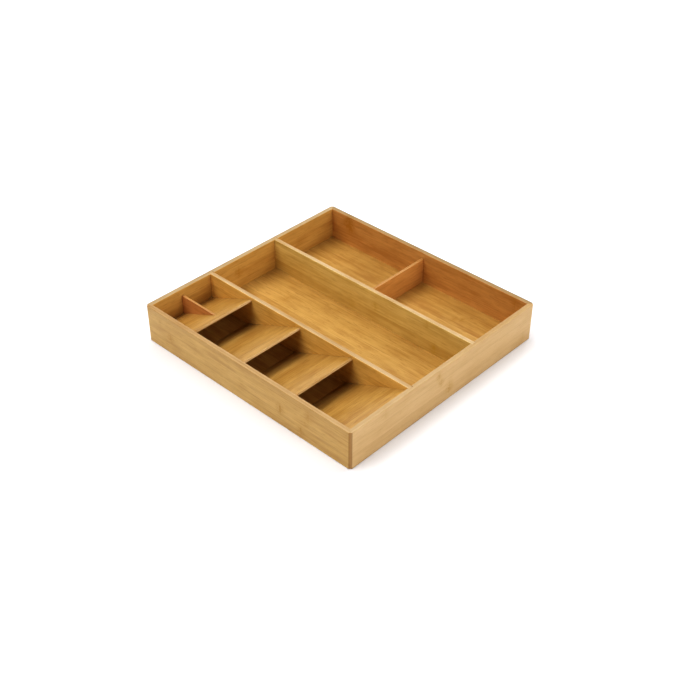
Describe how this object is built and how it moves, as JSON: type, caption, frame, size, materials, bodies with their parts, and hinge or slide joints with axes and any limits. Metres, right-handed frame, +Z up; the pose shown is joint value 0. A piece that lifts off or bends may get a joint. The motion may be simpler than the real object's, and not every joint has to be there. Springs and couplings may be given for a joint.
{
  "type": "cutlery tray",
  "caption": "Flat bamboo drawer tray for cutlery and kitchen tools: open lanes between long dividers, a split back lane, and a front lane of overlapping ramps.",
  "frame": {"origin": "centre of the tray's footprint, on the plane that its foot pads stand on", "axes": "+X along the lanes, towards the high end of the ramps; +Y from the front wall, beside the ramps, to the back wall; +Z up"},
  "size_m": [0.4, 0.384, 0.0613],
  "materials": {
    "bamboo_wall": "satin lacquered bamboo",
    "bamboo_divider": "satin lacquered bamboo",
    "bamboo_ramp": "satin lacquered bamboo",
    "bamboo_base": "satin lacquered bamboo",
    "foot_pad": "matt"
  },
  "bodies": {
    "root": {"front_wall": "bamboo_wall", "back_wall": "bamboo_wall", "left_end_wall": "bamboo_wall", "right_end_wall": "bamboo_wall", "base_panel": "bamboo_base", "front_long_divider": "bamboo_divider", "rear_long_divider": "bamboo_divider", "cross_divider": "bamboo_divider", "small_divider": "bamboo_divider", "ramp_1": "bamboo_ramp", "ramp_2": "bamboo_ramp", "ramp_3": "bamboo_ramp", "ramp_4": "bamboo_ramp", "foot_front_left": "foot_pad", "foot_front_right": "foot_pad", "foot_back_left": "foot_pad", "foot_back_right": "foot_pad"}
  },
  "joints": []
}
